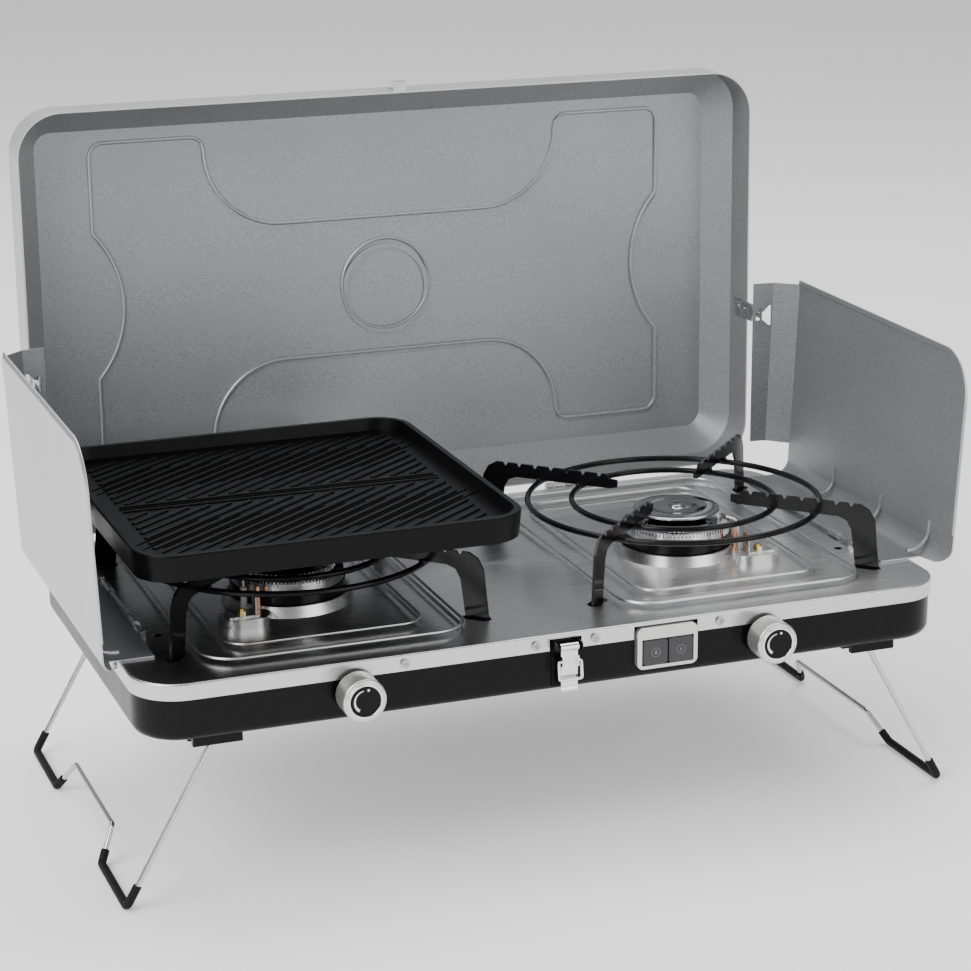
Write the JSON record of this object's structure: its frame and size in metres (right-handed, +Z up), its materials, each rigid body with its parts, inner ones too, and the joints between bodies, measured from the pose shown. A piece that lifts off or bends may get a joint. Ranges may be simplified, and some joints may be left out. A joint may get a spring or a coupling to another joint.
{
  "type": "camping stove",
  "caption": "Suitcase camp stove with upright lid, side wind shields, gas burners under toothed pan supports, griddle, turn knobs, spark buttons and folding wire legs.",
  "frame": {"origin": "on the ground under the middle of the whole stove as it stands open", "axes": "+Z up, the knobs and latch face -Y, the lid stands at +Y, +X to the right seen from the front"},
  "size_m": [0.682, 0.427, 0.5252],
  "materials": {
    "black_enamel": "gloss black vitreous enamel",
    "black_body": "semi-gloss black powder coat",
    "stainless": "brushed along the width",
    "silver_paint": "satin silver hammered paint",
    "chrome": "bright plate",
    "steel_wire": "bright zinc plate",
    "zinc": "zinc plate",
    "dark_steel": "polished dark steel",
    "brass": "machined",
    "copper": "copper sheath",
    "ceramic": "glazed ceramic",
    "rubber": "matt black",
    "non_stick": "non-stick coated casting",
    "knob_silver": "satin silver",
    "knob_black": "matt black with a white mark",
    "grey_plastic": "fine matt",
    "dark_plastic": "moulded"
  },
  "bodies": {
    "base": {"body_tray": "black_body", "leg_brackets": "black_body", "top_deck": "stainless", "rim_screws": "zinc", "support_seats": "zinc", "electrode_brackets": "zinc", "hinge_brackets": "zinc", "rod_lugs": "zinc", "mixing_tubes": "zinc", "burner_bowl_left": "black_enamel", "burner_bowl_right": "black_enamel", "latch_base": "black_body", "flame_ring_left": "chrome", "flame_ring_right": "chrome", "burner_cap_left": "dark_steel", "burner_cap_right": "dark_steel", "bracket_nuts": "brass", "gas_valves": "brass", "gas_jets": "brass", "gas_inlet": "brass", "thermocouple_left": "copper", "thermocouple_right": "copper", "gas_manifold": "copper", "spark_electrode_left": "ceramic", "spark_electrode_right": "ceramic", "hinge_pins": "steel_wire", "shield_rods": "steel_wire", "ignition_frame": "knob_silver", "igniter_box": "dark_plastic"},
    "lid": {"lid_shell": "silver_paint", "lid_strike": "chrome", "lid_hooks": "zinc", "hook_rivets": "zinc", "hinge_leaves": "zinc"},
    "shield_left": {"windshield_left": "silver_paint"},
    "shield_right": {"windshield_right": "silver_paint"},
    "support_left": {"support_arms_left": "black_enamel", "support_rings_left": "black_enamel"},
    "support_right": {"support_arms_right": "black_enamel", "support_rings_right": "black_enamel"},
    "griddle_plate": {"griddle": "non_stick"},
    "spindle_left": {"valve_stem_left": "steel_wire"},
    "spindle_right": {"valve_stem_right": "steel_wire"},
    "knob_left": {"knob_body_left": "knob_silver", "knob_ring_left": "chrome", "knob_face_left": "knob_black"},
    "knob_right": {"knob_body_right": "knob_silver", "knob_ring_right": "chrome", "knob_face_right": "knob_black"},
    "button_left": {"ignition_button_left": "grey_plastic"},
    "button_right": {"ignition_button_right": "grey_plastic"},
    "lever": {"latch_lever": "chrome"},
    "loop": {"latch_loop": "chrome"},
    "leg_frame_left": {"leg_left": "steel_wire", "leg_sleeves_left": "rubber"},
    "leg_frame_right": {"leg_right": "steel_wire", "leg_sleeves_right": "rubber"}
  },
  "joints": [
    {"name": "lid_hinge", "type": "hinge", "parent": "base", "child": "lid", "pos_m": [0, 0.15765, 0.17385], "axis": [1, 0, 0], "range_deg": [0, 3]},
    {"name": "shield_left_hinge", "type": "hinge", "parent": "base", "child": "shield_left", "pos_m": [-0.287, -0.018, 0.176], "axis": [0, 1, 0], "range_deg": [0, 3.5]},
    {"name": "shield_right_hinge", "type": "hinge", "parent": "base", "child": "shield_right", "pos_m": [0.287, -0.018, 0.176], "axis": [0, -1, 0], "range_deg": [0, 3.5]},
    {"name": "support_left_lift", "type": "slide", "parent": "base", "child": "support_left", "axis": [0, 0, 1], "range_m": [0, 0.06]},
    {"name": "support_right_lift", "type": "slide", "parent": "base", "child": "support_right", "axis": [0, 0, 1], "range_m": [0, 0.06]},
    {"name": "griddle_lift", "type": "slide", "parent": "support_left", "child": "griddle_plate", "axis": [0, 0, 1], "range_m": [0, 0.08]},
    {"name": "knob_left_push", "type": "slide", "parent": "base", "child": "spindle_left", "axis": [0, 1, 0], "range_m": [0, 0.003], "stiffness_N_per_m": 1200},
    {"name": "knob_right_push", "type": "slide", "parent": "base", "child": "spindle_right", "axis": [0, 1, 0], "range_m": [0, 0.003], "stiffness_N_per_m": 1200},
    {"name": "knob_left_turn", "type": "hinge", "parent": "spindle_left", "child": "knob_left", "pos_m": [-0.16, -0.19, 0.151], "axis": [0, -1, 0], "range_deg": [0, 210]},
    {"name": "knob_right_turn", "type": "hinge", "parent": "spindle_right", "child": "knob_right", "pos_m": [0.16, -0.19, 0.151], "axis": [0, -1, 0], "range_deg": [0, 210]},
    {"name": "button_left_press", "type": "slide", "parent": "base", "child": "button_left", "axis": [0, 1, 0], "range_m": [0, 0.003], "stiffness_N_per_m": 600},
    {"name": "button_right_press", "type": "slide", "parent": "base", "child": "button_right", "axis": [0, 1, 0], "range_m": [0, 0.003], "stiffness_N_per_m": 600},
    {"name": "latch_lever_hinge", "type": "hinge", "parent": "base", "child": "lever", "pos_m": [0, -0.196, 0.1646], "axis": [-1, 0, 0], "range_deg": [0, 100]},
    {"name": "latch_loop_hinge", "type": "hinge", "parent": "lever", "child": "loop", "pos_m": [0, -0.1984, 0.1546], "axis": [-1, 0, 0], "range_deg": [0, 100]},
    {"name": "leg_left_hinge", "type": "hinge", "parent": "base", "child": "leg_frame_left", "pos_m": [-0.258, -0.018, 0.123], "axis": [0, -1, 0], "range_deg": [0, 118]},
    {"name": "leg_right_hinge", "type": "hinge", "parent": "base", "child": "leg_frame_right", "pos_m": [0.258, -0.018, 0.123], "axis": [0, 1, 0], "range_deg": [0, 118]}
  ]
}
